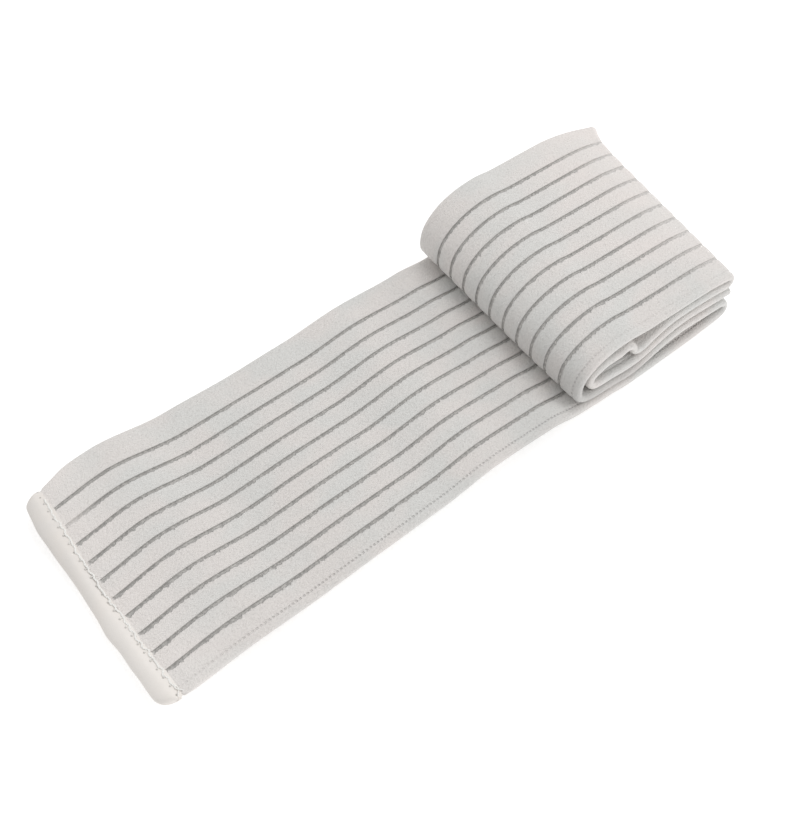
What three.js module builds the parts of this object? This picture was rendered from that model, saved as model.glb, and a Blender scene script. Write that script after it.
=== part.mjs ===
// Elastic support band: a ribbed knitted strip that lies flat at its bound end and is folded
// back and forth into a low roll at the other end.
// Millimetres, +Z up. While it is shaped, x runs along the strip from the stitch line at the
// bound end (x = 0) to the roll, and y runs across it to the far edge. At the end it is moved
// so that the origin lies on the ground under the middle of the whole thing.
import * as THREE from 'three';
import { mergeVertices } from 'three/addons/utils/BufferGeometryUtils.js';

// The knitted strip.
const bandWidth = 77;
const bandThickness = 2.6;
const grooveCount = 10;
const groovePitch = 6.5;
const grooveShift = -0.5;
const grooveWidth = 1.2;
const grooveDepth = 0.55;

// How it lies: the flat stretch, the roll, and the air between two layers.
const flatLength = 137;
const rollLength = 74.1;
const layerGap = 0.4;
const liftHeight = 4.8;

// The roll isn't square: its top leans to the far edge, more so at its left face, and at the
// far edge it reaches further right and rises.
const rollLean = 2.8;
const rollTurn = 3.3;
const rollSkew = 4.75;
const rollRise = 2.3;

// The flat stretch is drawn in a little.
const waist = 0.8;

// The bound end: a tape folded round the thinned end of the strip.
const bindingReach = 5.2;
const bindingWall = 0.9;
const bindingLap = 0.8;
const bindingClearance = 0.3;
const bindingCorner = 3.2;
const tongueThickness = 1;
const taperLength = 3.4;
const hemShift = -1.3;
const hemBow = 0.9;
const hemSkew = 1.5;
const hemFade = 30;

// At the bound end the far corner curls down and is drawn in.
const cornerCurl = 2.2;
const cornerTuck = 4;

// Fineness of the faceted skin.
const sectionStep = 9;
const sectionTurn = THREE.MathUtils.degToRad(19);
const backColumns = 8;
const marginColumn = 34;
const bindingSteps = 26;
const quarterSteps = 4;

const halfWidth = bandWidth / 2;
const halfThickness = bandThickness / 2;
const layerPitch = bandThickness + layerGap;
const topLevel = 6;
const tongueReach = bindingReach - bindingWall - bindingClearance;
const tongueMiddle = bindingWall + bindingClearance + tongueThickness / 2;
const bindingHeight = 2 * tongueMiddle;

// How far the flat stretch stands off the ground. along: share of the flat length from the
// stitch line. near, middle, far: height at the two edges and between them, as shares of the
// lift height.
const lifts = [
  { along: 0, near: 0.41, middle: 0.04, far: 0.88 },
  { along: 0.14, near: 0.7, middle: 0.77, far: 1.18 },
  { along: 0.31, near: 0.38, middle: 0.17, far: 0.38 },
  { along: 0.47, near: 0.52, middle: 0.37, far: 0.19 },
  { along: 0.61, near: 0.63, middle: 0.36, far: 0.32 },
  { along: 0.77, near: 1.11, middle: 0.87, far: 0.7 },
  { along: 0.93, near: 0.9, middle: 0.52, far: 0.5 },
  { along: 1.03, near: 0.46, middle: 0.2, far: 0.14 },
  { along: 1.1, near: 0.32, middle: 0.1, far: 0.05 },
  { along: 1.19, near: 0, middle: 0, far: 0 },
];

// The turns of the roll, in the order in which the strip runs through them from the flat end.
// side: 1 for a turn that bulges to the right, -1 to the left. run: place of its nose, as a
// share of the roll's length from its left face. inset: layers from there inwards.
// from, nose, to: levels in layers above the ground, where the strip comes in, turns back and
// leaves. enter, leave: length of the two arcs along x, in layers.
const lowerRight = { side: 1, run: 1, inset: 0, from: 0.3, nose: 1.1, to: 1.9, enter: 0.9, leave: 1.1 };
const outerLeft = { side: -1, run: 0, inset: 0.59, from: 1.15, nose: 2.1, to: 6.1, enter: 1.45, leave: 7.4 };
const upperRight = { side: 1, run: 1, inset: 0.35, from: 5.4, nose: 4.86, to: 4.27, enter: 0.6, leave: 0.6 };
const innerLeft = { side: -1, run: 0, inset: 2.3, from: 4.5, nose: 3, to: 2.22, enter: 4.6, leave: 0.9 };

// Places that the strip passes between its turns. run and level as above.
const underRoll = [
  { run: 0.33, level: 0 },
  { run: 0.6, level: 0 },
  { run: 0.66, level: 0 },
  { run: 0.72, level: 0.02 },
  { run: 0.93, level: 0.24 },
];
const aboveGround = [
  { run: 0.82, level: 2.1 },
  { run: 0.68, level: 2.3 },
  { run: 0.56, level: 2.12 },
  { run: 0.47, level: 1.62 },
  { run: 0.38, level: 1.2 },
];
const acrossTop = [{ run: 0.42, level: 5.96 }, { run: 0.62, level: 5.94 }, { run: 0.84, level: 5.83 }];
const stepUp = [
  { run: 0.84, level: 4.56 },
  { run: 0.7, level: 4.76 },
  { run: 0.585, level: 4.62 },
  { run: 0.5, level: 4.12 },
  { run: 0.43, level: 3.62 },
  { run: 0.38, level: 3.46 },
  { run: 0.353, level: 3.86 },
  { run: 0.348, level: 4.28 },
  { run: 0.33, level: 4.62 },
];
const core = [
  { run: 0.3, level: 2.24 },
  { run: 0.41, level: 2.36 },
  { run: 0.5, level: 2.85 },
  { run: 0.6, level: 3.4 },
  { run: 0.7, level: 3.6 },
  { run: 0.83, level: 3.38 },
];
const looseEnd = { run: 0.965, level: 3.08 };

const smooth = THREE.MathUtils.smoothstep;

function heightOfLevel(level) {
  return halfThickness + level * layerPitch;
}

function placeOf({ run, level, inset = 0, side = 1 }) {
  const faceInset = side * (halfThickness + inset * layerPitch);
  const x = flatLength + run * rollLength - (run === 0 || run === 1 ? faceInset : 0);
  return new THREE.Vector3(x, 0, heightOfLevel(level));
}

// A turn is two quarter ellipses that meet at its nose.
function turnPoints(turn) {
  const nose = placeOf({ ...turn, level: turn.nose });
  const points = [];
  for (const [level, reach, way] of [[turn.from, turn.enter, -1], [turn.to, turn.leave, 1]]) {
    const drop = heightOfLevel(level) - nose.z;
    const length = reach * layerPitch;
    for (let step = way < 0 ? 0 : 1; step <= quarterSteps; step += 1) {
      const share = way < 0 ? 1 - step / quarterSteps : step / quarterSteps;
      const angle = (share * Math.PI) / 2;
      const x = nose.x - turn.side * length * (1 - Math.cos(angle));
      points.push(new THREE.Vector3(x, 0, nose.z + drop * Math.sin(angle)));
    }
  }
  return points;
}

function rollPath() {
  const start = new THREE.Vector3(0, 0, halfThickness);
  const flat = [0.25, 0.5, 0.75, 1].map((share) => new THREE.Vector3(share * flatLength, 0, halfThickness));
  const points = [
    start,
    ...flat,
    ...underRoll.map(placeOf),
    ...turnPoints(lowerRight),
    ...aboveGround.map(placeOf),
    ...turnPoints(outerLeft),
    ...acrossTop.map(placeOf),
    ...turnPoints(upperRight),
    ...stepUp.map(placeOf),
    ...turnPoints(innerLeft),
    ...core.map(placeOf),
    placeOf(looseEnd),
  ];
  return new THREE.CatmullRomCurve3(points, false, 'centripetal');
}

// Height of the flat stretch over the ground at x, where side runs from -1 at the near edge to
// 1 at the far one.
function liftAt(x, side) {
  const along = THREE.MathUtils.clamp(x / flatLength, 0, lifts[lifts.length - 1].along);
  const next = Math.max(1, lifts.findIndex((row) => row.along >= along));
  const [a, b] = [lifts[next - 1], lifts[next]];
  const blend = smooth(along, a.along, b.along);
  const edge = side < 0 ? 'near' : 'far';
  const atEdge = THREE.MathUtils.lerp(a[edge], b[edge], blend);
  const inMiddle = THREE.MathUtils.lerp(a.middle, b.middle, blend);
  return liftHeight * (inMiddle * (1 - side * side) + atEdge * side * side);
}

// Takes a point of the square, level band to where it really lies. All pieces pass through
// here, so they stay clear of each other.
function settle(point) {
  const side = point.y / halfWidth;
  const up = (point.z - halfThickness) / (topLevel * layerPitch);
  const run = smooth(point.x, flatLength / 2, flatLength + rollLength);
  const overHem = 1 - smooth(point.x, 0, hemFade);
  const lean = (rollLean + rollTurn * (1 - run)) * smooth(point.x, flatLength / 2, flatLength);
  const drawnIn = waist * smooth(point.x, 12, 50) * (1 - smooth(point.x, 118, 150));
  const farEdge = Math.max(0, side) ** 6;
  const tuck = cornerTuck * (1 - smooth(point.x, -9, 12)) * farEdge;
  const curl = cornerCurl * (1 - smooth(point.x, 12, 50)) * farEdge;
  return new THREE.Vector3(
    point.x + overHem * (hemShift + hemSkew * side + hemBow * side * side) + rollSkew * side * run,
    point.y + lean * up - drawnIn * side - tuck,
    point.z + rollRise * side * run * up + liftAt(point.x, side) * (1 - up * up) - curl,
  );
}

// Rounded corners in plan: how much shorter the bound end is at this distance from its middle.
function cornerCut(y) {
  const past = THREE.MathUtils.clamp(Math.abs(y) - (halfWidth - bindingCorner), 0, bindingCorner);
  return bindingCorner - Math.sqrt(bindingCorner * bindingCorner - past * past);
}

// Cross-section of the strip: rounded edges, and on its face a groove at each woven line. Its
// back is plain, in columns that let it follow the strip's bends.
function bandSection() {
  const outline = new THREE.Shape();
  const edgeCentre = halfWidth - halfThickness;
  outline.absarc(edgeCentre, 0, halfThickness, -Math.PI / 2, Math.PI / 2, false);
  outline.lineTo(marginColumn, halfThickness);
  for (let line = 0; line < grooveCount; line += 1) {
    const y = ((grooveCount - 1) / 2 - line) * groovePitch + grooveShift;
    outline.lineTo(y + grooveWidth / 2, halfThickness);
    outline.lineTo(y, halfThickness - grooveDepth);
    outline.lineTo(y - grooveWidth / 2, halfThickness);
  }
  outline.absarc(-edgeCentre, 0, halfThickness, Math.PI / 2, (3 * Math.PI) / 2, false);
  for (let column = 1; column < backColumns; column += 1) {
    outline.lineTo(-edgeCentre * Math.cos((column / backColumns) * Math.PI), -halfThickness);
  }
  return outline;
}

// Cross-section of the binding: a tape folded round the tongue, its nose at -x.
function bindingSection() {
  const slot = tongueThickness / 2 + bindingClearance;
  const outside = bindingHeight / 2;
  const outline = new THREE.Shape();
  outline.moveTo(bindingLap, -outside);
  outline.lineTo(bindingLap, -slot);
  outline.lineTo(-tongueReach - bindingClearance, -slot);
  outline.lineTo(-tongueReach - bindingClearance, slot);
  outline.lineTo(bindingLap, slot);
  outline.lineTo(bindingLap - bindingWall / 2, outside - bindingWall / 3);
  outline.absarc(outside - bindingReach, 0, outside, Math.PI / 2, (3 * Math.PI) / 2, false);
  return outline;
}

// Faces that close a ring whose outline runs from its far end over the top to its near end and
// back. They step from end to end, so they stay inside the section where it is bent.
function lidFaces(outline) {
  const count = outline.length;
  const farthest = (sign) => outline.reduce((best, point, index) => (
    sign * point.x > sign * outline[best].x ? index : best
  ), 0);
  const start = farthest(1);
  const stop = farthest(-1);
  const faces = [];
  let [upper, lower] = [start, start];
  while (upper !== stop || lower !== stop) {
    const nextUpper = (upper + 1) % count;
    const nextLower = (lower + count - 1) % count;
    const goUpper = lower === stop || (upper !== stop && outline[nextUpper].x > outline[nextLower].x);
    if (upper !== lower) {
      faces.push([lower, upper, goUpper ? nextUpper : nextLower]);
    }
    [upper, lower] = goUpper ? [nextUpper, lower] : [upper, nextLower];
  }
  return faces;
}

// A closed solid that passes through one ring of points for each section.
function loft(outline, rows, place) {
  const count = outline.length;
  const vertices = [];
  const faces = [];
  rows.forEach((row, index) => {
    outline.forEach((point) => vertices.push(...place(point.x, point.y, row).toArray()));
    for (let corner = 0; index > 0 && corner < count; corner += 1) {
      const next = (corner + 1) % count;
      const [here, before] = [index * count, (index - 1) * count];
      faces.push([before + corner, before + next, here + next]);
      faces.push([before + corner, here + next, here + corner]);
    }
  });
  const last = (rows.length - 1) * count;
  for (const [a, b, c] of lidFaces(outline)) {
    faces.push([a, c, b], [last + a, last + b, last + c]);
  }
  const solid = new THREE.BufferGeometry();
  solid.setAttribute('position', new THREE.Float32BufferAttribute(vertices, 3));
  solid.setIndex(faces.flat());
  solid.computeVertexNormals();
  return solid;
}

// Where the sections stand along the path: closer together where it turns more.
function sectionPlaces(curve) {
  const fine = 1600;
  const points = curve.getSpacedPoints(fine);
  const length = curve.getLength();
  const heading = (index) => {
    const step = points[index + 1].clone().sub(points[index]);
    return Math.atan2(step.z, step.x);
  };
  const places = [];
  let turned = 0;
  let walked = 0;
  for (let index = 1; index < fine; index += 1) {
    const change = heading(index) - heading(index - 1);
    turned += Math.abs(Math.atan2(Math.sin(change), Math.cos(change)));
    walked += length / fine;
    if (turned > sectionTurn || walked > sectionStep) {
      places.push(index / fine);
      turned = 0;
      walked = 0;
    }
  }
  places.push(1);
  return places;
}

function bandGeometry() {
  const curve = rollPath();
  const length = curve.getLength();
  const mouth = bindingLap + bindingClearance;
  const tongue = [1, 0.66, 0.33, 0].map((share) => ({ x: -share * tongueReach, cut: share, thin: 1 }));
  const taper = [0, 0.35, 0.7, 1].map((share) => (
    { x: mouth + share * taperLength, cut: 0, thin: 1 - share }
  ));
  const start = mouth + taperLength + sectionStep / 3;
  const along = sectionPlaces(curve).map((share) => share * length).filter((distance) => distance > start);

  const middleAt = (distance, y) => {
    const point = curve.getPointAt(THREE.MathUtils.clamp(distance / length, 0, 1));
    return settle(new THREE.Vector3(point.x, y, point.z));
  };

  const placeOnEnd = (y, height, row) => {
    const thickness = THREE.MathUtils.lerp(bandThickness, tongueThickness, row.thin);
    const middle = THREE.MathUtils.lerp(halfThickness, tongueMiddle, row.thin);
    const x = row.x + row.cut * cornerCut(y);
    return settle(new THREE.Vector3(x, y, middle + (height / bandThickness) * thickness));
  };

  const placeOnPath = (y, height, distance) => {
    const step = 0.05;
    const ahead = middleAt(distance + step, y).sub(middleAt(distance - step, y));
    const across = middleAt(distance, y + step).sub(middleAt(distance, y - step));
    const up = ahead.cross(across).normalize();
    return middleAt(distance, y).addScaledVector(up, height);
  };

  const outline = bandSection().getPoints(quarterSteps).slice(0, -1);
  return loft(outline, [...tongue, ...taper, ...along], (y, height, row) => (
    typeof row === 'number' ? placeOnPath(y, height, row) : placeOnEnd(y, height, row)
  ));
}

// The binding's section is extruded along the strip's end, then bent as the strip is.
function bindingGeometry() {
  const options = { steps: bindingSteps, depth: 2, bevelEnabled: false, curveSegments: 2 * quarterSteps };
  const solid = new THREE.ExtrudeGeometry(bindingSection(), options);
  solid.deleteAttribute('normal');
  solid.deleteAttribute('uv');
  const bent = mergeVertices(solid);
  const position = bent.getAttribute('position');
  for (let index = 0; index < position.count; index += 1) {
    const x = position.getX(index);
    const y = halfWidth * Math.sin(((1 - position.getZ(index)) * Math.PI) / 2);
    const nose = x < bindingHeight / 2 - bindingReach + bindingClearance;
    const height = tongueMiddle + position.getY(index);
    const placed = settle(new THREE.Vector3(nose ? x + cornerCut(y) : x, y, height));
    position.setXYZ(index, placed.x, placed.y, placed.z);
  }
  bent.computeVertexNormals();
  return bent;
}

const knit = new THREE.MeshStandardMaterial({ name: 'knit', color: 0xdad6d1, roughness: 0.95, metalness: 0 });
const tape = new THREE.MeshStandardMaterial({ name: 'tape', color: 0xe8e7e4, roughness: 0.9, metalness: 0 });

const band = new THREE.Mesh(bandGeometry(), knit);
band.name = 'band';
const endBinding = new THREE.Mesh(bindingGeometry(), tape);
endBinding.name = 'end_binding';

const group = new THREE.Group();
group.add(band, endBinding);
const box = new THREE.Box3().setFromObject(group);
const centre = box.getCenter(new THREE.Vector3());
group.position.set(-centre.x, -centre.y, -box.min.z);

export default group;
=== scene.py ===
"""Elastic support band: a ribbed knit strip, flat at its bound end and folded into a low roll."""

import math

import bmesh
import bpy
import numpy as np
from mathutils import Matrix, Vector


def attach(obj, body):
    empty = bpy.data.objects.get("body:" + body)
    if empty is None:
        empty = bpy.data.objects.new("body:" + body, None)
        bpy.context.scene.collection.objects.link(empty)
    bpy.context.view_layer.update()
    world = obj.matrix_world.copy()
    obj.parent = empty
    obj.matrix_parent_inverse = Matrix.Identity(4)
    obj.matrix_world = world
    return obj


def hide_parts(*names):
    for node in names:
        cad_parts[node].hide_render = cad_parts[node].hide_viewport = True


bl_info = {
    "name": "Elastic Support Band",
    "version": (1, 0, 0),
    "blender": (4, 5, 0),
    "location": "View3D > Sidebar > Band",
    "description": "Adds a folded ribbed support band with its bound end, stitching and stage",
    "category": "Add Mesh",
}

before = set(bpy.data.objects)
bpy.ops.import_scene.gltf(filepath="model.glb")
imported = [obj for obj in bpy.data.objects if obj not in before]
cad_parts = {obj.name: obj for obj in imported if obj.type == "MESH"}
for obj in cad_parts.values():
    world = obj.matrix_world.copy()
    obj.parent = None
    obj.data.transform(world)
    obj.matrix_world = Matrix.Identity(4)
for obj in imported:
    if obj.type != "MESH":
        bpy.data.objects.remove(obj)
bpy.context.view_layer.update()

# Lengths below are in millimetres. to_metres takes a place in the strip's own frame, whose
# origin is the stitch line at the bound end, to a place in the scene.
STRIP_ORIGIN = (-104.27, -1.924, 0.005)
WIDTH = 77.0
THICKNESS = 2.6
LINE_COUNT = 10
LINE_PITCH = 6.5
LINE_SHIFT = -0.5
FLAT_LENGTH = 137.0
ROLL_LENGTH = 74.1
LAYER_PITCH = 3.0
LIFT_HEIGHT = 4.8
TOP_LEVEL = 6.0
SEAM = -36.0
SEAM_PITCH = 1.25
HALF_WIDTH = WIDTH / 2
HALF_THICKNESS = THICKNESS / 2
LINES_HALF = LINE_COUNT / 2 * LINE_PITCH
FIRST_LINE = (LINE_COUNT - 1) / 2 * LINE_PITCH + LINE_SHIFT

# The roll leans over the flat stretch, turns on the ground and rises to its far side.
ROLL_LEAN = 2.8
ROLL_TURN = 3.3
ROLL_SKEW = 4.75
ROLL_RISE = 2.3

# The flat stretch is drawn in between its ends, and its bound end is set back, askew and bowed.
WAIST = 0.8
WAIST_STARTS = (12, 50)
WAIST_ENDS = (118, 150)
HEM_SHIFT = -1.3
HEM_SKEW = 1.5
HEM_BOW = 0.9
HEM_REACH = 30

# How far two corners on the far edge move: the bound end's is tucked in and curled down, and
# the upper right fold's moves by (x, y, z).
CORNER_TUCK = 4.0
TUCK_FADES = (-9, 12)
CORNER_CURL = 2.2
FOLD_CORNER = (4.6, -2.2, -1.7)
FOLD_CORNER_STARTS = (188, 210)
FOLD_CORNER_RISES = (0.35, 0.75)

# Share of the flat length; then how high the near edge, middle and far edge lie, as shares of
# the lift height.
LIFTS = (
    (0, 0.41, 0.04, 0.88),
    (0.14, 0.7, 0.77, 1.18),
    (0.31, 0.38, 0.17, 0.38),
    (0.47, 0.52, 0.37, 0.19),
    (0.61, 0.63, 0.36, 0.32),
    (0.77, 1.11, 0.87, 0.7),
    (0.93, 0.9, 0.52, 0.5),
    (1.03, 0.46, 0.2, 0.14),
    (1.1, 0.32, 0.1, 0.05),
    (1.19, 0, 0, 0),
)

# The folds: side 1 bulges right, -1 left; run is a share of the roll's length; inset, the
# levels and the two arcs' lengths are in layers.
LOWER_RIGHT = dict(side=1, run=1, inset=0.8, levels=(0.3, 1.1, 1.9), arcs=(0.9, 1.1))
OUTER_LEFT = dict(side=-1, run=0, inset=0.59, levels=(1.15, 2.1, 6.1), arcs=(1.45, 7.4))
UPPER_RIGHT = dict(side=1, run=1, inset=0.35, levels=(5.4, 4.86, 4.27), arcs=(0.6, 0.6))
INNER_LEFT = dict(side=-1, run=0, inset=2.3, levels=(4.5, 3, 2.22), arcs=(4.6, 0.9))

# Places between the folds, as (run, level).
UNDER_ROLL = ((0.33, 0), (0.6, 0), (0.66, 0), (0.72, 0.02), (0.86, 0.2))
ABOVE_GROUND = ((0.8, 2.1), (0.68, 2.3), (0.56, 2.06), (0.47, 1.6), (0.38, 1.2))
ACROSS_TOP = ((0.42, 5.96), (0.62, 5.94), (0.84, 5.83))
STEP_UP = (
    (0.84, 4.56),
    (0.7, 4.76),
    (0.585, 4.62),
    (0.5, 4.12),
    (0.44, 3.68),
    (0.4, 3.5),
    (0.376, 3.82),
    (0.37, 4.28),
    (0.353, 4.68),
    (0.326, 4.74),
)
CORE = (
    (0.3, 2.24),
    (0.41, 2.36),
    (0.5, 2.9),
    (0.6, 3.42),
    (0.7, 3.6),
    (0.83, 3.38),
    (0.965, 3.08),
)


def smoothstep(value, low, high):
    share = np.clip((value - low) / (high - low), 0, 1)
    return share * share * (3 - 2 * share)


def place_of(run, level):
    return (FLAT_LENGTH + run * ROLL_LENGTH, HALF_THICKNESS + level * LAYER_PITCH)


def fold_points(side, run, inset, levels, arcs):
    """Two quarter ellipses that meet at the fold's nose."""
    nose_x, nose_z = place_of(run, levels[1])
    nose_x -= side * (HALF_THICKNESS + inset * LAYER_PITCH)
    points = []
    for level, arc, shares in (
        (levels[0], arcs[0], (1, 0.75, 0.5, 0.25, 0)),
        (levels[2], arcs[1], (0.25, 0.5, 0.75, 1)),
    ):
        drop = place_of(run, level)[1] - nose_z
        for share in shares:
            angle = share * math.pi / 2
            x = nose_x - side * arc * LAYER_PITCH * (1 - math.cos(angle))
            points.append((x, nose_z + drop * math.sin(angle)))
    return points


def strip_path(steps=60):
    """The strip's middle line in its X-Z plane, and the length along it, at many points."""
    knots = [(share * FLAT_LENGTH, HALF_THICKNESS) for share in (0, 0.25, 0.5, 0.75, 1)]
    knots += [place_of(*spot) for spot in UNDER_ROLL]
    knots += fold_points(**LOWER_RIGHT)
    knots += [place_of(*spot) for spot in ABOVE_GROUND]
    knots += fold_points(**OUTER_LEFT)
    knots += [place_of(*spot) for spot in ACROSS_TOP]
    knots += fold_points(**UPPER_RIGHT)
    knots += [place_of(*spot) for spot in STEP_UP]
    knots += fold_points(**INNER_LEFT)
    knots += [place_of(*spot) for spot in CORE]
    knots = np.array(knots, float)
    first = 2 * knots[0] - knots[1]
    last = 2 * knots[-1] - knots[-2]
    knots = np.vstack([first, knots, last])
    share = np.linspace(0, 1, steps, endpoint=False)[:, None]
    line = []
    for p0, p1, p2, p3 in zip(knots, knots[1:], knots[2:], knots[3:]):
        d0, d1, d2 = (np.linalg.norm(b - a) ** 0.5 for a, b in ((p0, p1), (p1, p2), (p2, p3)))
        leave = ((p1 - p0) / d0 - (p2 - p0) / (d0 + d1) + (p2 - p1) / d1) * d1
        arrive = ((p2 - p1) / d1 - (p3 - p1) / (d1 + d2) + (p3 - p2) / d2) * d1
        square = 3 * (p2 - p1) - 2 * leave - arrive
        cube = 2 * (p1 - p2) + leave + arrive
        line.append(p1 + leave * share + square * share**2 + cube * share**3)
    line = np.vstack([*line, knots[-2]])
    walked = np.concatenate([[0], np.cumsum(np.linalg.norm(np.diff(line, axis=0), axis=1))])
    return line, walked


PATH, WALKED = strip_path()
STRIP_LENGTH = float(WALKED[-1])


def walked_where(beyond, after):
    """The first length along the strip, after another, where its path is beyond a line."""
    return float(WALKED[np.argmax(beyond & (WALKED > after))])


# Lengths along the strip between which it crosses the roll's top from left to right.
TOP_START = walked_where(PATH[:, 0] < FLAT_LENGTH + 9, 240)
TOP_END = walked_where(PATH[:, 0] > FLAT_LENGTH + 67, 300)


def lift_at(x, side):
    rows = np.array(LIFTS)
    along = np.clip(x / FLAT_LENGTH, 0, rows[-1, 0])
    after = np.clip(np.searchsorted(rows[:, 0], along), 1, len(rows) - 1)
    low, high = rows[after - 1], rows[after]
    blend = smoothstep(along, low[..., 0], high[..., 0])
    near, middle, far = (
        low[..., k] + (high[..., k] - low[..., k]) * blend for k in (1, 2, 3)
    )
    edge = np.where(side < 0, near, far)
    return LIFT_HEIGHT * (middle * (1 - side**2) + edge * side**2)


def settle(x, y, z):
    """Takes places on the square, level strip to where it really lies."""
    x, y, z = np.broadcast_arrays(np.asarray(x, float), np.asarray(y, float), np.asarray(z, float))
    side = y / HALF_WIDTH
    up = (z - HALF_THICKNESS) / (TOP_LEVEL * LAYER_PITCH)
    run = smoothstep(x, FLAT_LENGTH / 2, FLAT_LENGTH + ROLL_LENGTH)
    by_hem = 1 - smoothstep(x, 0, HEM_REACH)
    lean = (ROLL_LEAN + ROLL_TURN * (1 - run)) * smoothstep(x, FLAT_LENGTH / 2, FLAT_LENGTH)
    waist = WAIST * smoothstep(x, *WAIST_STARTS) * (1 - smoothstep(x, *WAIST_ENDS))
    far_edge = np.maximum(0, side) ** 6
    tuck = CORNER_TUCK * (1 - smoothstep(x, *TUCK_FADES)) * far_edge
    curl = CORNER_CURL * (1 - smoothstep(x, *WAIST_STARTS)) * far_edge
    corner = far_edge * smoothstep(x, *FOLD_CORNER_STARTS) * smoothstep(up, *FOLD_CORNER_RISES)
    hem = HEM_SHIFT + HEM_SKEW * side + HEM_BOW * side**2
    settled_x = x + by_hem * hem + ROLL_SKEW * side * run
    settled_y = y + lean * up - waist * side - tuck
    settled_z = z + ROLL_RISE * side * run * up + lift_at(x, side) * (1 - up * up) - curl
    settled = (settled_x, settled_y, settled_z)
    return np.stack([value + corner * move for value, move in zip(settled, FOLD_CORNER)], axis=-1)


def middle_at(walked, y):
    inside = np.clip(walked, 0, STRIP_LENGTH)
    x = np.interp(inside, WALKED, PATH[:, 0]) + np.minimum(walked, 0)
    z = np.interp(inside, WALKED, PATH[:, 1])
    return settle(x, y, z)


def on_strip(walked, y, height):
    """Places at a height over the strip's middle surface, square to it."""
    step = 0.08
    ahead = middle_at(walked + step, y) - middle_at(walked - step, y)
    across = middle_at(walked, y + step) - middle_at(walked, y - step)
    up = np.cross(ahead, across)
    up /= np.linalg.norm(up, axis=-1, keepdims=True)
    return middle_at(walked, y) + up * np.asarray(height)[..., None]


def to_metres(points):
    return (np.array(points, float) + STRIP_ORIGIN) / 1000


def ripple(a, b, seed):
    """Smooth, repeatable unevenness over two directions, mostly within 1 either way."""
    rng = np.random.default_rng(seed)
    total = np.zeros(np.broadcast(a, b).shape)
    for _ in range(7):
        heading = rng.uniform(0, 2 * math.pi)
        pace = rng.uniform(0.5, 1.6)
        phase = rng.uniform(0, 2 * math.pi)
        total += np.sin(pace * (a * math.cos(heading) + b * math.sin(heading)) + phase)
    return total / 4


def grid_mesh(name, places, weave):
    """A piece of cloth through rows of places that each run round it, its two ends filled."""
    rows, columns = places.shape[:2]
    mesh_builder = bmesh.new()
    mesh_builder.loops.layers.uv.new("UVMap")
    layer = mesh_builder.verts.layers.float_vector.new("weave")
    bmesh.ops.create_grid(
        mesh_builder, x_segments=columns - 1, y_segments=rows - 1, size=0.5, calc_uvs=True
    )
    for vert in mesh_builder.verts:
        column = round((vert.co.x + 0.5) * (columns - 1))
        row = round((vert.co.y + 0.5) * (rows - 1))
        vert.co = places[row, column]
        vert[layer] = weave[row, column]
    rim = [vert for vert in mesh_builder.verts if vert.is_boundary]
    bmesh.ops.remove_doubles(mesh_builder, verts=rim, dist=1e-7)
    open_edges = [edge for edge in mesh_builder.edges if edge.is_boundary]
    bmesh.ops.holes_fill(mesh_builder, edges=open_edges, sides=0)
    bmesh.ops.recalc_face_normals(mesh_builder, faces=mesh_builder.faces)
    for face in mesh_builder.faces:
        face.smooth = len(face.verts) < 5
    mesh = bpy.data.meshes.new(name)
    mesh_builder.to_mesh(mesh)
    mesh_builder.free()
    piece = bpy.data.objects.new(name, mesh)
    bpy.context.scene.collection.objects.link(piece)
    return piece


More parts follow.
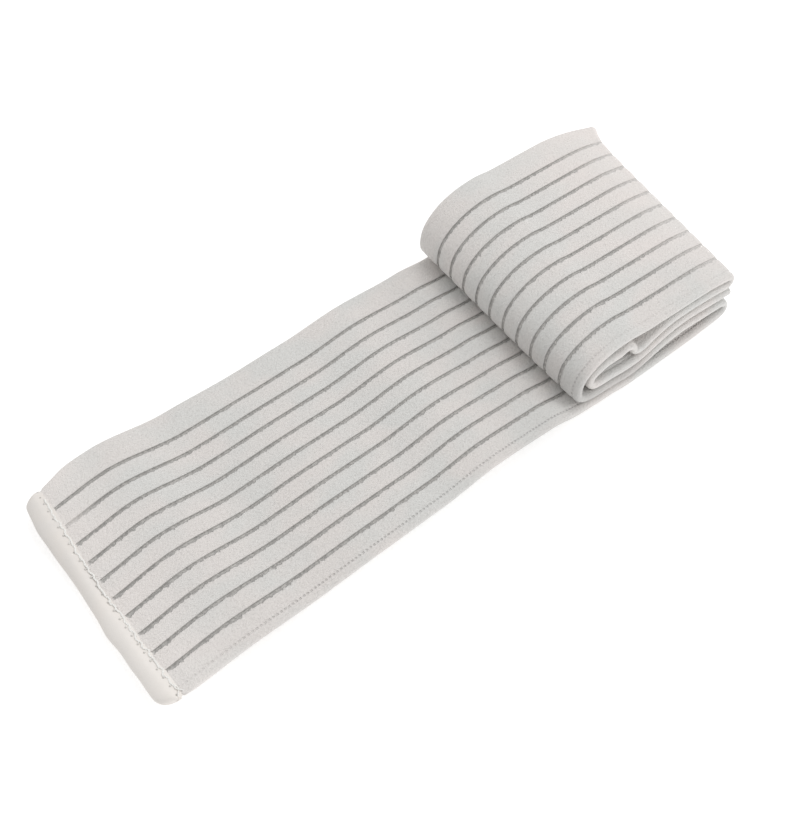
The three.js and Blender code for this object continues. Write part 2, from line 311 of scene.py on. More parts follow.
class Nodes:
    """Adds shader nodes and joins them, so that a material reads as a list of steps."""

    def __init__(self, name):
        self.material = bpy.data.materials.new(name)
        self.material.use_nodes = True
        self.tree = self.material.node_tree
        self.shader = self.tree.nodes["Principled BSDF"]

    def add(self, kind, inputs=None, **settings):
        node = self.tree.nodes.new(kind)
        for key, value in settings.items():
            setattr(node, key, value)
        for key, value in (inputs or {}).items():
            self.feed(value, node.inputs[key])
        return node

    def feed(self, value, socket):
        if isinstance(value, bpy.types.NodeSocket):
            self.tree.links.new(value, socket)
        else:
            socket.default_value = value

    def math(self, operation, *values):
        return self.add("ShaderNodeMath", dict(enumerate(values)), operation=operation).outputs[0]

    def step(self, value, low, high):
        """0 below low, 1 above high and smooth between; low may be the larger."""
        flipped = low > high
        bottom, top = min(low, high), max(low, high)
        node = self.add(
            "ShaderNodeMapRange",
            {"Value": value, "From Min": bottom, "From Max": top},
            interpolation_type="SMOOTHSTEP",
        )
        node.inputs["To Min"].default_value = 1 if flipped else 0
        node.inputs["To Max"].default_value = 0 if flipped else 1
        return node.outputs["Result"]

    def mix(self, share, first, second):
        node = self.add("ShaderNodeMix", data_type="RGBA")
        self.feed(share, node.inputs[0])
        self.feed(first, node.inputs[6])
        self.feed(second, node.inputs[7])
        return node.outputs[2]

    def noise(self, place, scale, detail=2.0):
        node = self.add("ShaderNodeTexNoise", {"Vector": place, "Scale": scale, "Detail": detail})
        return node.outputs["Fac"]

    def combine(self, x, y, z):
        return self.add("ShaderNodeCombineXYZ", {"X": x, "Y": y, "Z": z}).outputs[0]

    def weave(self):
        """A piece's own coordinates: two in millimetres, and 1 on its face or 0 behind."""
        vector = self.add("ShaderNodeAttribute", attribute_name="weave").outputs["Vector"]
        parts = self.add("ShaderNodeSeparateXYZ", {0: vector}).outputs
        return parts["X"], parts["Y"], parts["Z"]

    def product(self, *values):
        total = values[0]
        for value in values[1:]:
            total = self.math("MULTIPLY", total, value)
        return total

    def distance(self, value, centre):
        return self.math("ABSOLUTE", self.math("SUBTRACT", value, centre))

    def lessened(self, share, mask):
        """1 where the mask is 0, and less by the share where it is 1."""
        return self.math("SUBTRACT", 1.0, self.product(mask, share))

    def stretch(self, value, start, full, fading, end):
        """1 from full to fading, and 0 before start and after end."""
        return self.product(self.step(value, start, full), self.step(value, end, fading))

    def finish(self, colour, height, bump, inputs):
        """Joins colour and bump to the shader, and sets what is the same all over it."""
        strength, distance = bump
        bump_node = self.add(
            "ShaderNodeBump", {"Height": height, "Strength": strength, "Distance": distance}
        )
        self.feed(colour, self.shader.inputs["Base Color"])
        self.feed(bump_node.outputs[0], self.shader.inputs["Normal"])
        for name, value in inputs.items():
            self.feed(value, self.shader.inputs[name])
        return self.material


def rgba(colour):
    return (*colour, 1)


# Colours that the knit and the tape are mixed with. Besides their own tones there are painted
# shade for hollows, needle holes and shaded parts of the knit, and painted light for raised
# fibres and the roll's lit top.
KNIT_HOLLOW_SHADE = rgba((0.46, 0.44, 0.42))
KNIT_LIT_FIBRE = rgba((0.86, 0.84, 0.82))
KNIT_PALE = rgba((0.88, 0.83, 0.8))
KNIT_PAINTED_LIGHT = rgba((0.86, 0.78, 0.745))
KNIT_PAINTED_SHADE = rgba((0.3, 0.29, 0.28))
SEAM_HOLLOW_SHADE = rgba((0.3, 0.28, 0.27))
TAPE_PALE = rgba((0.86, 0.82, 0.78))
NEEDLE_HOLE_SHADE = rgba((0.3, 0.28, 0.26))


def recessed_lines(nodes, settings, along, across):
    """1 in the recessed lines, whose near side is ragged."""
    shifted = nodes.math("SUBTRACT", across, LINE_SHIFT)
    folded = nodes.math("FLOORED_MODULO", shifted, LINE_PITCH)
    from_line = nodes.math("SUBTRACT", folded, LINE_PITCH / 2)
    number = nodes.math("FLOOR", nodes.math("DIVIDE", shifted, LINE_PITCH))
    # Each line reads a part of the noise of its own, off the noise's grid.
    bumps = nodes.noise(
        nodes.combine(along, nodes.product(number, 37.37), 0.4), settings.bump_scale, 3.0
    )
    ragged = nodes.product(nodes.math("SUBTRACT", bumps, 0.5), settings.bump_reach)
    far_side = nodes.step(from_line, 0.2, -0.05)
    near_side = nodes.step(nodes.math("ADD", from_line, ragged), -1.03, -0.68)
    within = nodes.step(nodes.math("ABSOLUTE", shifted), LINES_HALF + 0.1, LINES_HALF - 0.1)
    past_hem = nodes.step(along, 0.6, 1.6)
    # The second line is faint by the bound end, and every line is on the upper right fold.
    second = nodes.step(nodes.distance(number, 3.0), 0.6, 0.4)
    second_start = nodes.lessened(0.6, nodes.product(second, nodes.step(along, 14.0, 3.0)))
    over_fold = nodes.lessened(0.5, nodes.step(along, TOP_END - 26, TOP_END + 4))
    return nodes.product(far_side, near_side, within, past_hem, second_start, over_fold)


def seam_hollows(nodes, along, across):
    """1 in the fine stitches' hollows inside the near selvedge, fainter by the hem and on top."""
    off_stitch = nodes.distance(nodes.math("FLOORED_MODULO", along, SEAM_PITCH), 0.62)
    hollows = nodes.product(
        nodes.step(nodes.distance(across, SEAM), 0.34, 0.12), nodes.step(off_stitch, 0.4, 0.18)
    )
    past_hem = nodes.math("ADD", 0.4, nodes.product(nodes.step(along, 4.0, 40.0), 0.6))
    on_top = nodes.lessened(0.8, nodes.step(along, TOP_START, TOP_START + 40))
    return nodes.product(hollows, past_hem, on_top)


def rib_colour(nodes, settings, along, across, noises):
    """The knit between its lines: mottled with painted shade and light, paler by the hem, with
    painted shade before the roll and on its left face and painted light on its top.
    """
    grain, fuzz, blotch = noises
    rib = nodes.mix(
        nodes.step(blotch, 0.35, 0.65), rgba(settings.cool_colour), rgba(settings.warm_colour)
    )
    # Painted shade in the knit's small hollows: darker where the grain's bump is low.
    rib = nodes.mix(nodes.product(nodes.step(grain, 0.5, 0.3), 0.24), rib, KNIT_HOLLOW_SHADE)
    # Painted light on the raised fibres: paler where the fuzz's bump stands highest.
    rib = nodes.mix(nodes.product(nodes.step(fuzz, 0.55, 0.75), 0.5), rib, KNIT_LIT_FIBRE)
    by_hem = nodes.step(along, 24.0, 6.0)
    rib = nodes.mix(nodes.product(by_hem, 0.55), rib, KNIT_PALE)
    # Painted shade on the flat stretch where the roll shades it, just before the roll.
    painted_shade_before_roll = nodes.stretch(
        along, FLAT_LENGTH - 36, FLAT_LENGTH - 12, FLAT_LENGTH - 6, FLAT_LENGTH
    )
    rib = nodes.mix(nodes.product(painted_shade_before_roll, 0.14), rib, KNIT_PAINTED_SHADE)
    # Painted light: warmer and brighter on the roll's top towards the upper right fold, away from
    # the near edge.
    painted_light_over_top = nodes.stretch(along, TOP_END - 50, TOP_END - 6, TOP_END + 6, TOP_END + 14)
    painted_light_over_top = nodes.product(painted_light_over_top, nodes.step(across, -34.0, -14.0))
    rib = nodes.mix(nodes.product(painted_light_over_top, 0.3), rib, KNIT_PAINTED_LIGHT)
    # Painted shade on the roll's left face, deeper towards the near edge.
    painted_shade_on_roll_face = nodes.stretch(
        along, TOP_START - 32, TOP_START - 16, TOP_START + 6, TOP_START + 24
    )
    shade = nodes.math("ADD", 0.13, nodes.product(nodes.step(across, 5.0, -32.0), 0.2))
    return nodes.mix(nodes.product(painted_shade_on_roll_face, shade), rib, KNIT_PAINTED_SHADE)


def knit_material(settings):
    """Soft pale knit with recessed lines in painted shade and light, from the weave attribute in
    millimetres.
    """
    nodes = Nodes("ribbed_knit")
    along, across, face = nodes.weave()
    on_face = nodes.step(face, 0.4, 0.6)
    grain_place = nodes.combine(along, nodes.product(across, 1.5), face)
    grain = nodes.noise(grain_place, 1.25, 3.0)
    fuzz = nodes.noise(grain_place, 2.6, 2.0)
    blotch = nodes.noise(grain_place, 0.05, 2.0)
    line = nodes.product(recessed_lines(nodes, settings, along, across), on_face)
    hollows = nodes.product(seam_hollows(nodes, along, across), on_face)
    rib = rib_colour(nodes, settings, along, across, (grain, fuzz, blotch))
    # The lines' colour mixes painted shade deep in them with painted light on lit fibres.
    line_colour = nodes.mix(
        nodes.step(grain, 0.35, 0.7), rgba(settings.line_shade), rgba(settings.line_lit_fibre)
    )
    knit = nodes.mix(line, rib, line_colour)
    # Painted shade in the fine stitches' hollows.
    knit = nodes.mix(nodes.product(hollows, 0.2), knit, SEAM_HOLLOW_SHADE)
    height = nodes.math("ADD", grain, nodes.product(fuzz, 0.7))
    height = nodes.math("SUBTRACT", height, nodes.product(line, 1.2))
    height = nodes.math("SUBTRACT", height, nodes.product(hollows, 0.9))
    surface = {
        "Roughness": 0.95,
        "Specular IOR Level": 0.12,
        "Sheen Weight": 0.25,
        "Sheen Roughness": 0.6,
    }
    return nodes.finish(knit, height, (0.8, 0.0004), surface)


def tape_material(settings):
    """Smooth pale tape with painted shade in small needle holes beside the stitching."""
    nodes = Nodes("binding_tape")
    out, across, face = nodes.weave()
    pitch = settings.stitch_pitch
    past_hole = nodes.math("FLOORED_MODULO", across, pitch)
    off_across = nodes.math("SUBTRACT", past_hole, pitch / 2)
    off_out = nodes.math("SUBTRACT", out, settings.hole_reach)
    squares = nodes.math(
        "ADD", nodes.product(off_across, off_across), nodes.product(off_out, off_out)
    )
    away = nodes.math("SQRT", squares)
    holes = nodes.product(nodes.step(away, 0.38, 0.16), nodes.step(face, 0.4, 0.6))
    place = nodes.combine(out, across, face)
    grain = nodes.noise(place, 3.2, 3.0)
    blotch = nodes.noise(place, 0.09, 2.0)
    tape = nodes.mix(
        nodes.step(blotch, 0.35, 0.65), rgba(settings.cool_colour), rgba(settings.warm_colour)
    )
    near_end = nodes.step(across, 25.0, -30.0)
    tape = nodes.mix(nodes.product(near_end, 0.5), tape, TAPE_PALE)
    # Painted shade in the needle holes, which only the bump dents.
    tape = nodes.mix(nodes.product(holes, 0.55), tape, NEEDLE_HOLE_SHADE)
    height = nodes.math("SUBTRACT", nodes.product(grain, 0.4), nodes.product(holes, 1.5))
    surface = {"Roughness": 0.9, "Specular IOR Level": 0.15, "Sheen Weight": 0.2}
    return nodes.finish(tape, height, (0.45, 0.0002), surface)


def thread_material(settings):
    """White sewing thread with a fine lengthwise unevenness."""
    nodes = Nodes("sewing_thread")
    place = nodes.add("ShaderNodeTexCoord").outputs["Object"]
    grain = nodes.noise(place, 2600.0, 2.0)
    thread = nodes.mix(grain, rgba(settings.shade), rgba(settings.colour))
    return nodes.finish(thread, grain, (0.3, 0.0001), {"Roughness": 0.7})


def colour_property(name, description, default):
    return bpy.props.FloatVectorProperty(
        name=name, description=description, default=default, subtype="COLOR", min=0, max=1
    )


def millimetres(name, description, default):
    return bpy.props.FloatProperty(name=name, description=description + ", in mm", default=default)


class BandSettings(bpy.types.PropertyGroup):
    visible_step: millimetres("Row spacing", "Spacing of mesh rows where the strip shows", 0.8)
    hidden_step: millimetres("Hidden row spacing", "Spacing of mesh rows inside the roll", 2.4)
    line_depth: millimetres("Line depth", "Depth of the recessed lines", 0.5)
    rib_crown: millimetres("Rib crown", "How far a rib's middle stands over its sides", 0.2)
    unevenness: millimetres("Unevenness", "Height of the flat stretch's fine unevenness", 0.05)
    bump_reach: millimetres("Knit bump reach", "How far the knit's bumps reach into a line", 2.8)
    bump_scale: bpy.props.FloatProperty(
        name="Knit bump scale",
        description="Bumps per mm along the near side of each line",
        default=1.0,
    )
    cool_colour: colour_property("Cool", "The knit's cooler shade", (0.665, 0.66, 0.64))
    warm_colour: colour_property("Warm", "The knit's warmer shade", (0.71, 0.675, 0.65))
    # Painted shade deep in the recessed lines, and painted light on their lit fibres.
    line_shade: colour_property("Line, dark", "Depth of the recessed lines", (0.36, 0.35, 0.335))
    line_lit_fibre: colour_property("Line, light", "Lit fibres in the lines", (0.54, 0.525, 0.5))


class BindingSettings(bpy.types.PropertyGroup):
    stitch_pitch: millimetres("Stitch pitch", "Distance between needle holes", 3.0)
    hole_reach: millimetres("Hole place", "Where the holes lie, from the stitch line", -0.6)
    pucker: millimetres("Pucker", "How far the stitches draw the tape down between holes", 0.16)
    softness: millimetres("Softness", "Height of the tape's unevenness", 0.09)
    rows: bpy.props.IntProperty(
        name="Rows", description="Mesh rows along the binding", default=300, min=20
    )
    cool_colour: colour_property("Cool", "The tape's cooler shade", (0.72, 0.69, 0.66))
    warm_colour: colour_property("Warm", "The tape's warmer shade", (0.74, 0.7, 0.66))


class ThreadSettings(bpy.types.PropertyGroup):
    radius: bpy.props.FloatProperty(
        name="Radius",
        description="Radius of the sewing thread",
        default=0.00017,
        unit="LENGTH",
        precision=5,
    )
    shade: colour_property("Shade", "The thread in its hollows", (0.74, 0.73, 0.7))
    colour: colour_property("Colour", "The thread where it is lit", (0.9, 0.89, 0.87))


class StageSettings(bpy.types.PropertyGroup):
    lens: bpy.props.FloatProperty(
        name="Lens", description="Focal length for a 36 mm sensor, in mm", default=50.45
    )
    floor_size: bpy.props.FloatProperty(
        name="Floor size", description="Side of the square floor", default=4.0, unit="LENGTH"
    )
    key_power: bpy.props.FloatProperty(
        name="Key light",
        description="Power of the light behind the roll",
        default=5.8,
        unit="POWER",
    )
    fill_power: bpy.props.FloatProperty(
        name="Fill light",
        description="Power of the light on the near side",
        default=2.6,
        unit="POWER",
    )


# Where a line's two sides rise, measured from its middle; then the hollow that the fine
# stitches draw, and how far from the strip's edge the margin reaches its full height.
GROOVE_FAR = (-0.25, 0.2)
GROOVE_NEAR = (-1.25, -0.55)
SEAM_DEPTH = 0.22
SEAM_SPREAD = 0.35
EDGE_REACH = 4.5


def section_columns(settings):
    """The strip's cross-section in order round it, as rows of across, height and side."""
    edge = HALF_WIDTH - HALF_THICKNESS
    in_line = np.array([0.6, 0.3, 0.1, -0.05, -0.22, -0.42, -0.62, -0.82, -1.0, -1.3])
    on_rib = np.array([3.1, 2.2, 1.3, -2.0, -2.7])
    offsets = np.sort(np.concatenate([in_line, on_rib]))[::-1]
    across = [edge, 36.4, 35.5, 34.6, 33.8, 32.9]
    for line in range(LINE_COUNT):
        across += list(FIRST_LINE - line * LINE_PITCH + offsets)
    at_seam = SEAM + np.array([1.0, 0.5, 0.25, 0, -0.25, -0.5])
    across = np.array([*across, -33.2, -34.0, *at_seam, -36.8, -edge])
    face = np.stack([across, face_height(across, settings), np.ones(len(across))], axis=1)
    angles = np.radians(np.linspace(-90, 90, 9)[1:-1])
    far_edge = [
        (edge + HALF_THICKNESS * math.cos(angle), HALF_THICKNESS * math.sin(angle), 0.7)
        for angle in angles
    ]
    near_edge = [(-y, z, flag) for y, z, flag in reversed(far_edge)]
    back_far = [(y, -HALF_THICKNESS, 0.0) for y in np.linspace(0, edge, 14)]
    back_near = [(y, -HALF_THICKNESS, 0.0) for y in np.linspace(-edge, 0, 14)]
    return np.vstack([back_far, far_edge, face, near_edge, back_near])


def groove_depth(across, settings):
    """Depth of the recessed lines at places across the face."""
    from_line = np.mod(across - LINE_SHIFT, LINE_PITCH) - LINE_PITCH / 2
    far_side = smoothstep(-from_line, *GROOVE_FAR)
    near_side = smoothstep(from_line, *GROOVE_NEAR)
    inside = np.abs(across - LINE_SHIFT) < LINES_HALF
    return np.where(inside, settings.line_depth * far_side * near_side, 0)


def face_height(across, settings):
    """Height of the ribbed face over the strip's middle, without its recessed lines."""
    half_pitch = LINE_PITCH / 2
    from_line = np.mod(across - LINE_SHIFT, LINE_PITCH) - half_pitch
    from_rib = half_pitch - np.abs(from_line)
    crown = settings.rib_crown * (1 - (from_rib / half_pitch) ** 2) - 0.5 * settings.rib_crown
    inside = np.abs(across - LINE_SHIFT) < LINES_HALF
    seam = SEAM_DEPTH * np.exp(-(((across - SEAM) / SEAM_SPREAD) ** 2))
    edge_fade = smoothstep(HALF_WIDTH - np.abs(across), HALF_THICKNESS, EDGE_REACH)
    margin = 0.5 * settings.rib_crown * edge_fade
    return HALF_THICKNESS + np.where(inside, crown, margin) - seam


# The strip's end under the binding, as (distance from the stitch line, share of its thinning,
# share of its width). From the first row on, the strip is whole but pinched by the binding.
BOUND_ROWS = ((-3.6, 1, 0.97), (-2.4, 1, 0.97), (-1.2, 1, 0.97), (0, 1, 0.97), (0.8, 0.95, 0.99))
FIRST_ROW = 1.3
PINCH_ENDS = (0.8, 4.6)
PINCH_BLENDS = (4.6, 9.0)
MIDDLE_RISE = 0.4


def strip_rows(settings):
    """Lengths along the strip at which its mesh has rows, closer where it shows or bends."""
    heading = np.unwrap(np.arctan2(np.gradient(PATH[:, 1]), np.gradient(PATH[:, 0])))
    bend = np.abs(np.gradient(heading) / np.maximum(np.gradient(WALKED), 1e-6))
    rows = [FIRST_ROW]
    while rows[-1] < STRIP_LENGTH:
        here = rows[-1]
        shown = here < FLAT_LENGTH + 8 or TOP_START < here < TOP_END + 9
        step = settings.visible_step if shown else settings.hidden_step
        turn = float(np.interp(here + 0.6, WALKED, bend))
        rows.append(here + min(step, max(0.45, 0.22 / max(turn, 1e-3))))
    rows[-1] = STRIP_LENGTH
    return np.array(rows)


def bound_end(section, settings):
    """Rows of places for the thinned end, level with the binding's middle, and their weave."""
    across, face = section[:, 0], section[:, 2] > 0.9
    height = section[:, 1] - np.where(face, groove_depth(across, settings), 0)
    places, weave = [], []
    for x, thin, narrow in BOUND_ROWS:
        middle = HALF_THICKNESS + MIDDLE_RISE * thin
        places.append(settle(x, across * narrow, middle + height * (1 - thin * 0.62)))
        weave.append(np.stack([np.full(len(section), x), across, section[:, 2]], axis=1))
    return np.array(places), np.array(weave)


def strip_body(section, walked, settings):
    """Rows of places for the whole strip, and their weave."""
    across, face = section[None, :, 0], section[None, :, 2] > 0.9
    walked = walked[:, None]
    on_fold = smoothstep(walked, TOP_END - 8, TOP_END + 4)
    groove = np.where(face, groove_depth(across, settings), 0) * (1 - 0.8 * on_fold)
    height = section[None, :, 1] - groove
    body = on_strip(walked, across, height)

    pinch = 1 - smoothstep(walked, *PINCH_ENDS)
    middle = HALF_THICKNESS + MIDDLE_RISE * pinch
    pinched = settle(walked, across, middle + height * (1 - 0.58 * pinch))
    unpinched = smoothstep(walked, *PINCH_BLENDS)
    body = pinched * (1 - unpinched[..., None]) + body * unpinched[..., None]
    uneven = settings.unevenness * ripple(walked * 0.45, across * 0.8, 11)
    body[..., 2] += np.where(face & (walked < FLAT_LENGTH), uneven * unpinched, 0)
    weave = np.stack(np.broadcast_arrays(walked, across, section[None, :, 2]), axis=-1)
    return body, weave


class BAND_OT_add_strip(bpy.types.Operator):
    """Add the ribbed knit strip, flat at one end and folded into a roll at the other"""

    bl_idname = "band.add_strip"
    bl_label = "Add Strip"

    def execute(self, context):
        settings = context.scene.band_strip
        section = section_columns(settings)
        end, end_weave = bound_end(section, settings)
        body, body_weave = strip_body(section, strip_rows(settings), settings)
        places = to_metres(np.concatenate([end, body]))
        weave = np.concatenate([end_weave, body_weave])
        piece = grid_mesh("knit_band", places, weave)
        piece.data.materials.append(knit_material(settings))
        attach(piece, "root")
        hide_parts("band")
        return {"FINISHED"}


# The binding's outline across the strip's end, as (distance from the stitch line, height), and
# the place that its two ends close towards.
BINDING_OUTLINE = (
    (0.9, 1.15),
    (0.85, 2.0),
    (0.3, 2.45),
    (-0.6, 2.9),
    (-1.9, 3.35),
    (-3.3, 3.2),
    (-4.5, 2.6),
    (-5.15, 1.65),
    (-4.7, 0.7),
    (-3.4, 0.15),
    (-2.0, 0.05),
    (-0.3, 0.35),
)
BINDING_CENTRE = (-2.1, 1.7)
BINDING_NOSE = 5.15
BINDING_OVERHANG = 0.1
BINDING_END = 1.7

# Where the binding is wider or narrower, as (place across, share, spread); then the radii of its
# near and far outer corners and the most that they are cut back.
BINDING_BULGES = ((-12, 0.13, 5), (26, 0.04, 4), (38, -0.12, 4))
CORNER_RADII = (4.2, 3.2)
CORNER_CUT = 3.6


def rounded_outline(points, steps):
    """A closed smooth line through the points."""
    knots = np.array(points, float)
    share = np.arange(steps)[:, None] / steps
    line = []
    for p0, p1, p2, p3 in zip(*(np.roll(knots, -turn, axis=0) for turn in (-1, 0, 1, 2))):
        square = 2 * p0 - 5 * p1 + 4 * p2 - p3
        cube = 3 * p1 - p0 - 3 * p2 + p3
        line.append(0.5 * (2 * p1 + (p2 - p0) * share + square * share**2 + cube * share**3))
    return np.vstack([*line, knots[:1]])


def binding_top(x):
    """Height of the binding's upper side at a distance from the stitch line."""
    upper = np.array(BINDING_OUTLINE[1:8])[::-1]
    return np.interp(x, upper[:, 0], upper[:, 1])


def binding_width(y):
    """The binding's width across its outline, as a share of the usual one."""
    share = 1 + 0.05 * ripple(y * 0.45, 0, 5) + 0.1 * np.cos((y + 27) * math.pi / 28)
    for place, more, spread in BINDING_BULGES:
        share = share + more * np.exp(-(((y - place) / spread) ** 2))
    return share


def corner_cut(y):
    """How far the binding's rounded outer corners lie back from its nose."""
    radius = np.where(y < 0, *CORNER_RADII)
    past = np.clip(np.abs(y) - (HALF_WIDTH - radius), 0, radius)
    return np.minimum(radius - np.sqrt(np.maximum(0, radius**2 - past**2)), CORNER_CUT)


class BAND_OT_add_binding(bpy.types.Operator):
    """Add the soft folded tape that binds the strip's flat end"""

    bl_idname = "band.add_binding"
    bl_label = "Add Binding"

    def execute(self, context):
        settings = context.scene.band_binding
        outline = rounded_outline(BINDING_OUTLINE, 5)[None]
        half = HALF_WIDTH + BINDING_OVERHANG
        turn = np.linspace(-math.pi / 2, math.pi / 2, settings.rows + 1)[1:-1, None]
        y = half * np.sin(turn)
        past = np.clip((np.abs(y) - (half - BINDING_END)) / BINDING_END, 0, 1)
        close = np.sqrt(np.maximum(0.02, 1 - past**2))
        centre_x, centre_z = BINDING_CENTRE
        toward_nose = np.clip(-outline[..., 0] / BINDING_NOSE, 0, 1)
        x = centre_x + (outline[..., 0] - centre_x) * (0.3 + 0.7 * close) * binding_width(y)
        x = x + toward_nose * corner_cut(y)
        z = centre_z + (outline[..., 1] - centre_z) * close
        above = z > centre_z
        phase = 2 * math.pi * y / settings.stitch_pitch
        by_seam = np.exp(-(((x + 0.7) / 1.2) ** 2))
        pucker = settings.pucker * (0.5 - 0.5 * np.cos(phase)) * by_seam * above
        soft = settings.softness * ripple(x * 0.5, y * 0.35, 9) * above * close
        places = settle(x, y, z - pucker + soft)
        weave = np.stack(np.broadcast_arrays(x, y, above.astype(float)), axis=-1)
        piece = grid_mesh("end_binding_tape", to_metres(places), weave)
        piece.data.materials.append(tape_material(settings))
        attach(piece, "root")
        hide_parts("end_binding")
        return {"FINISHED"}


def thread_piece(name, lines, radius, material):
    """Sewing thread through lists of places, as round closed tubes."""
    curve = bpy.data.curves.new(name, "CURVE")
    curve.dimensions = "3D"
    curve.bevel_depth = radius
    curve.bevel_resolution = 2
    curve.use_fill_caps = True
    curve.resolution_u = 4
    for line in lines:
        spline = curve.splines.new("NURBS")
        spline.points.add(len(line) - 1)
        for point, place in zip(spline.points, line):
            point.co = (*place, 1)
        spline.order_u = 3
        spline.use_endpoint_u = True
    curve.materials.append(material)
    piece = bpy.data.objects.new(name, curve)
    bpy.context.scene.collection.objects.link(piece)
    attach(piece, "root")
    return piece


# The thread's places are (distance from the stitch line, place across, height over the tape).
THREAD_SINK = 0.14
SEAM_FROM, SEAM_TO = 33.0, -35.5
FIRST_HOLE, LAST_HOLE = 31.5, -35.0
THREAD_TAILS = (
    (
        (0.3, -34.9, 0.3),
        (0.0, -35.7, 0.5),
        (0.5, -36.5, 0.7),
        (1.3, -37.0, 0.5),
        (1.5, -37.7, 0.1),
        (1.0, -38.3, -0.4),
    ),
    (
        (0.4, -34.8, 0.3),
        (0.9, -35.7, 0.45),
        (0.5, -36.7, 0.4),
        (-0.1, -37.4, 0.4),
        (-0.5, -38.0, 0.1),
    ),
)


def laid(line):
    """Places in the scene for a line of thread that lies on the binding."""
    x, y, height = np.array(line).T
    return to_metres(settle(x, y, binding_top(x) + height - THREAD_SINK))


def chain_lines():
    """Two strands that twist round each other along the seam."""
    y = np.arange(SEAM_FROM, SEAM_TO, -0.4)
    wander = 0.3 * ripple(y * 0.4, 0, 21) + 0.45 * ripple(y * 1.9, 0, 4)
    strands = []
    for start in (0, math.pi):
        twist = y * math.pi / 0.85 + start + ripple(y, 0, 8)
        x = 0.2 + wander + 0.2 * np.sin(twist)
        strands.append(np.stack([x, y, 0.3 + 0.14 * np.cos(twist)], axis=1))
    return strands


def stitch_lines(pitch, reach):
    """A short bight out to each needle hole, and a few barbs of thread the other way."""
    rng = np.random.default_rng(3)
    bights, barbs = [], []
    for hole in np.arange(FIRST_HOLE, LAST_HOLE, -pitch):
        slant = rng.uniform(-0.5, 0.5)
        sag = rng.uniform(0.1, 0.22)
        bights.append(
            [
                (0.25, hole + 0.45 + slant, 0.22),
                (-0.2, hole + 0.25 + 0.5 * slant, sag),
                (reach + 0.15, hole + 0.08, 0.1),
                (reach, hole, -0.3),
            ]
        )
        if rng.uniform() < 0.7:
            away = rng.uniform(-0.6, 0.6)
            root = hole - 0.9
            tip = rng.uniform(0.9, 1.3)
            barbs.append(
                [(0.3, root, 0.25), (0.7, root + 0.5 * away, 0.2), (tip, root + away, 0.05)]
            )
    return bights, barbs


class BAND_OT_add_stitching(bpy.types.Operator):
    """Add the overlocked thread along the binding's inner edge, with its loose tail"""

    bl_idname = "band.add_stitching"
    bl_label = "Add Stitching"

    def execute(self, context):
        settings = context.scene.band_thread
        binding = context.scene.band_binding
        material = thread_material(settings)
        bights, barbs = stitch_lines(binding.stitch_pitch, binding.hole_reach)
        for name, lines, share in (
            ("overlock_chain", chain_lines(), 1.1),
            ("overlock_bights", bights, 0.7),
            ("overlock_barbs", barbs, 0.55),
            ("thread_tail", THREAD_TAILS, 0.9),
        ):
            thread_piece(name, [laid(line) for line in lines], settings.radius * share, material)
        return {"FINISHED"}


# The camera's right and up directions and its place, in the strip's own frame in millimetres.
CAMERA_RIGHT = (0.76677822, -0.64113704, 0.03153515)
CAMERA_UP = (0.50249424, 0.63008556, 0.59202341)
CAMERA_PLACE = (-40.3, -154.715, 276.955)
FLOOR_DROP = 0.0002
FLOOR_GLOW = 0.35
ROOM_LIGHT = 0.75


def add_lamp(scene, name, place, size, watts):
    """A round area light that faces the middle of the scene."""
    lamp = bpy.data.lights.new(name, "AREA")
    lamp.shape = "DISK"
    lamp.size = size
    lamp.energy = watts
    holder = bpy.data.objects.new(name, lamp)
    holder.location = place
    holder.rotation_euler = (-Vector(place)).to_track_quat("-Z", "Y").to_euler()
    scene.collection.objects.link(holder)


def add_floor(scene, size):
    builder = bmesh.new()
    bmesh.ops.create_grid(builder, x_segments=1, y_segments=1, size=size / 2)
    mesh = bpy.data.meshes.new("floor")
    builder.to_mesh(mesh)
    builder.free()
    floor = bpy.data.objects.new("floor", mesh)
    floor.location.z = -FLOOR_DROP
    scene.collection.objects.link(floor)
    nodes = Nodes("pale_floor")
    place = nodes.add("ShaderNodeTexCoord").outputs["Object"]
    pale = nodes.mix(nodes.noise(place, 3.0), rgba((0.86, 0.86, 0.86)), rgba((0.9, 0.9, 0.9)))
    nodes.feed(pale, nodes.shader.inputs["Base Color"])
    nodes.feed(0.9, nodes.shader.inputs["Roughness"])
    nodes.feed(rgba((1, 1, 1)), nodes.shader.inputs["Emission Color"])
    nodes.feed(FLOOR_GLOW, nodes.shader.inputs["Emission Strength"])
    mesh.materials.append(nodes.material)


def add_camera(scene, lens):
    camera_data = bpy.data.cameras.new("photo_camera")
    camera_data.lens = lens
    camera_data.clip_start = 0.01
    camera = bpy.data.objects.new("photo_camera", camera_data)
    right, up = Vector(CAMERA_RIGHT), Vector(CAMERA_UP)
    turn = Matrix((right, up, right.cross(up))).transposed().to_4x4()
    camera.matrix_world = Matrix.Translation(Vector(to_metres(CAMERA_PLACE))) @ turn
    scene.collection.objects.link(camera)
    scene.camera = camera


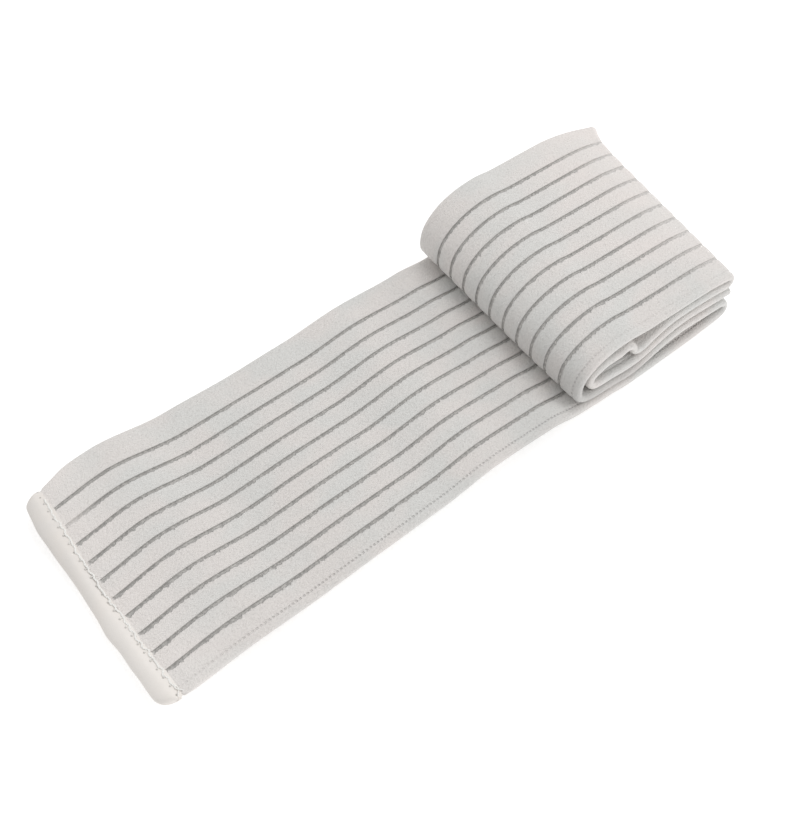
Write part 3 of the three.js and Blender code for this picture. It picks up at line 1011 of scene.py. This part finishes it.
class BAND_OT_add_stage(bpy.types.Operator):
    """Add the pale floor, soft lights and the camera at the photograph's angle"""

    bl_idname = "band.add_stage"
    bl_label = "Add Stage"

    def execute(self, context):
        scene = context.scene
        settings = scene.band_stage
        add_floor(scene, settings.floor_size)
        add_lamp(scene, "key_light", (0.75, 0.6, 1.1), 0.7, settings.key_power)
        add_lamp(scene, "fill_light", (0.7, -0.7, 0.6), 0.6, settings.fill_power)
        world = bpy.data.worlds.new("soft_room")
        world.use_nodes = True
        room = world.node_tree.nodes["Background"]
        room.inputs["Color"].default_value = rgba((1, 1, 1))
        room.inputs["Strength"].default_value = ROOM_LIGHT
        scene.world = world
        scene.view_settings.view_transform = "Standard"
        add_camera(scene, settings.lens)
        return {"FINISHED"}


class BAND_PT_panel(bpy.types.Panel):
    bl_label = "Support Band"
    bl_idname = "BAND_PT_panel"
    bl_space_type = "VIEW_3D"
    bl_region_type = "UI"
    bl_category = "Band"

    def draw(self, context):
        layout = self.layout
        scene = context.scene
        for settings, operator in (
            (scene.band_strip, "band.add_strip"),
            (scene.band_binding, "band.add_binding"),
            (scene.band_thread, "band.add_stitching"),
            (scene.band_stage, "band.add_stage"),
        ):
            box = layout.box()
            for name in settings.bl_rna.properties.keys():
                if name not in ("rna_type", "name"):
                    box.prop(settings, name)
            box.operator(operator)


CLASSES = (
    BandSettings,
    BindingSettings,
    ThreadSettings,
    StageSettings,
    BAND_OT_add_strip,
    BAND_OT_add_binding,
    BAND_OT_add_stitching,
    BAND_OT_add_stage,
    BAND_PT_panel,
)


def register():
    for cls in CLASSES:
        bpy.utils.register_class(cls)
    bpy.types.Scene.band_strip = bpy.props.PointerProperty(type=BandSettings)
    bpy.types.Scene.band_binding = bpy.props.PointerProperty(type=BindingSettings)
    bpy.types.Scene.band_thread = bpy.props.PointerProperty(type=ThreadSettings)
    bpy.types.Scene.band_stage = bpy.props.PointerProperty(type=StageSettings)


def unregister():
    for name in ("band_strip", "band_binding", "band_thread", "band_stage"):
        delattr(bpy.types.Scene, name)
    for cls in reversed(CLASSES):
        bpy.utils.unregister_class(cls)


def main():
    register()
    bpy.ops.band.add_strip()
    bpy.ops.band.add_binding()
    bpy.ops.band.add_stitching()
    bpy.ops.band.add_stage()


if __name__ == "__main__":
    main()
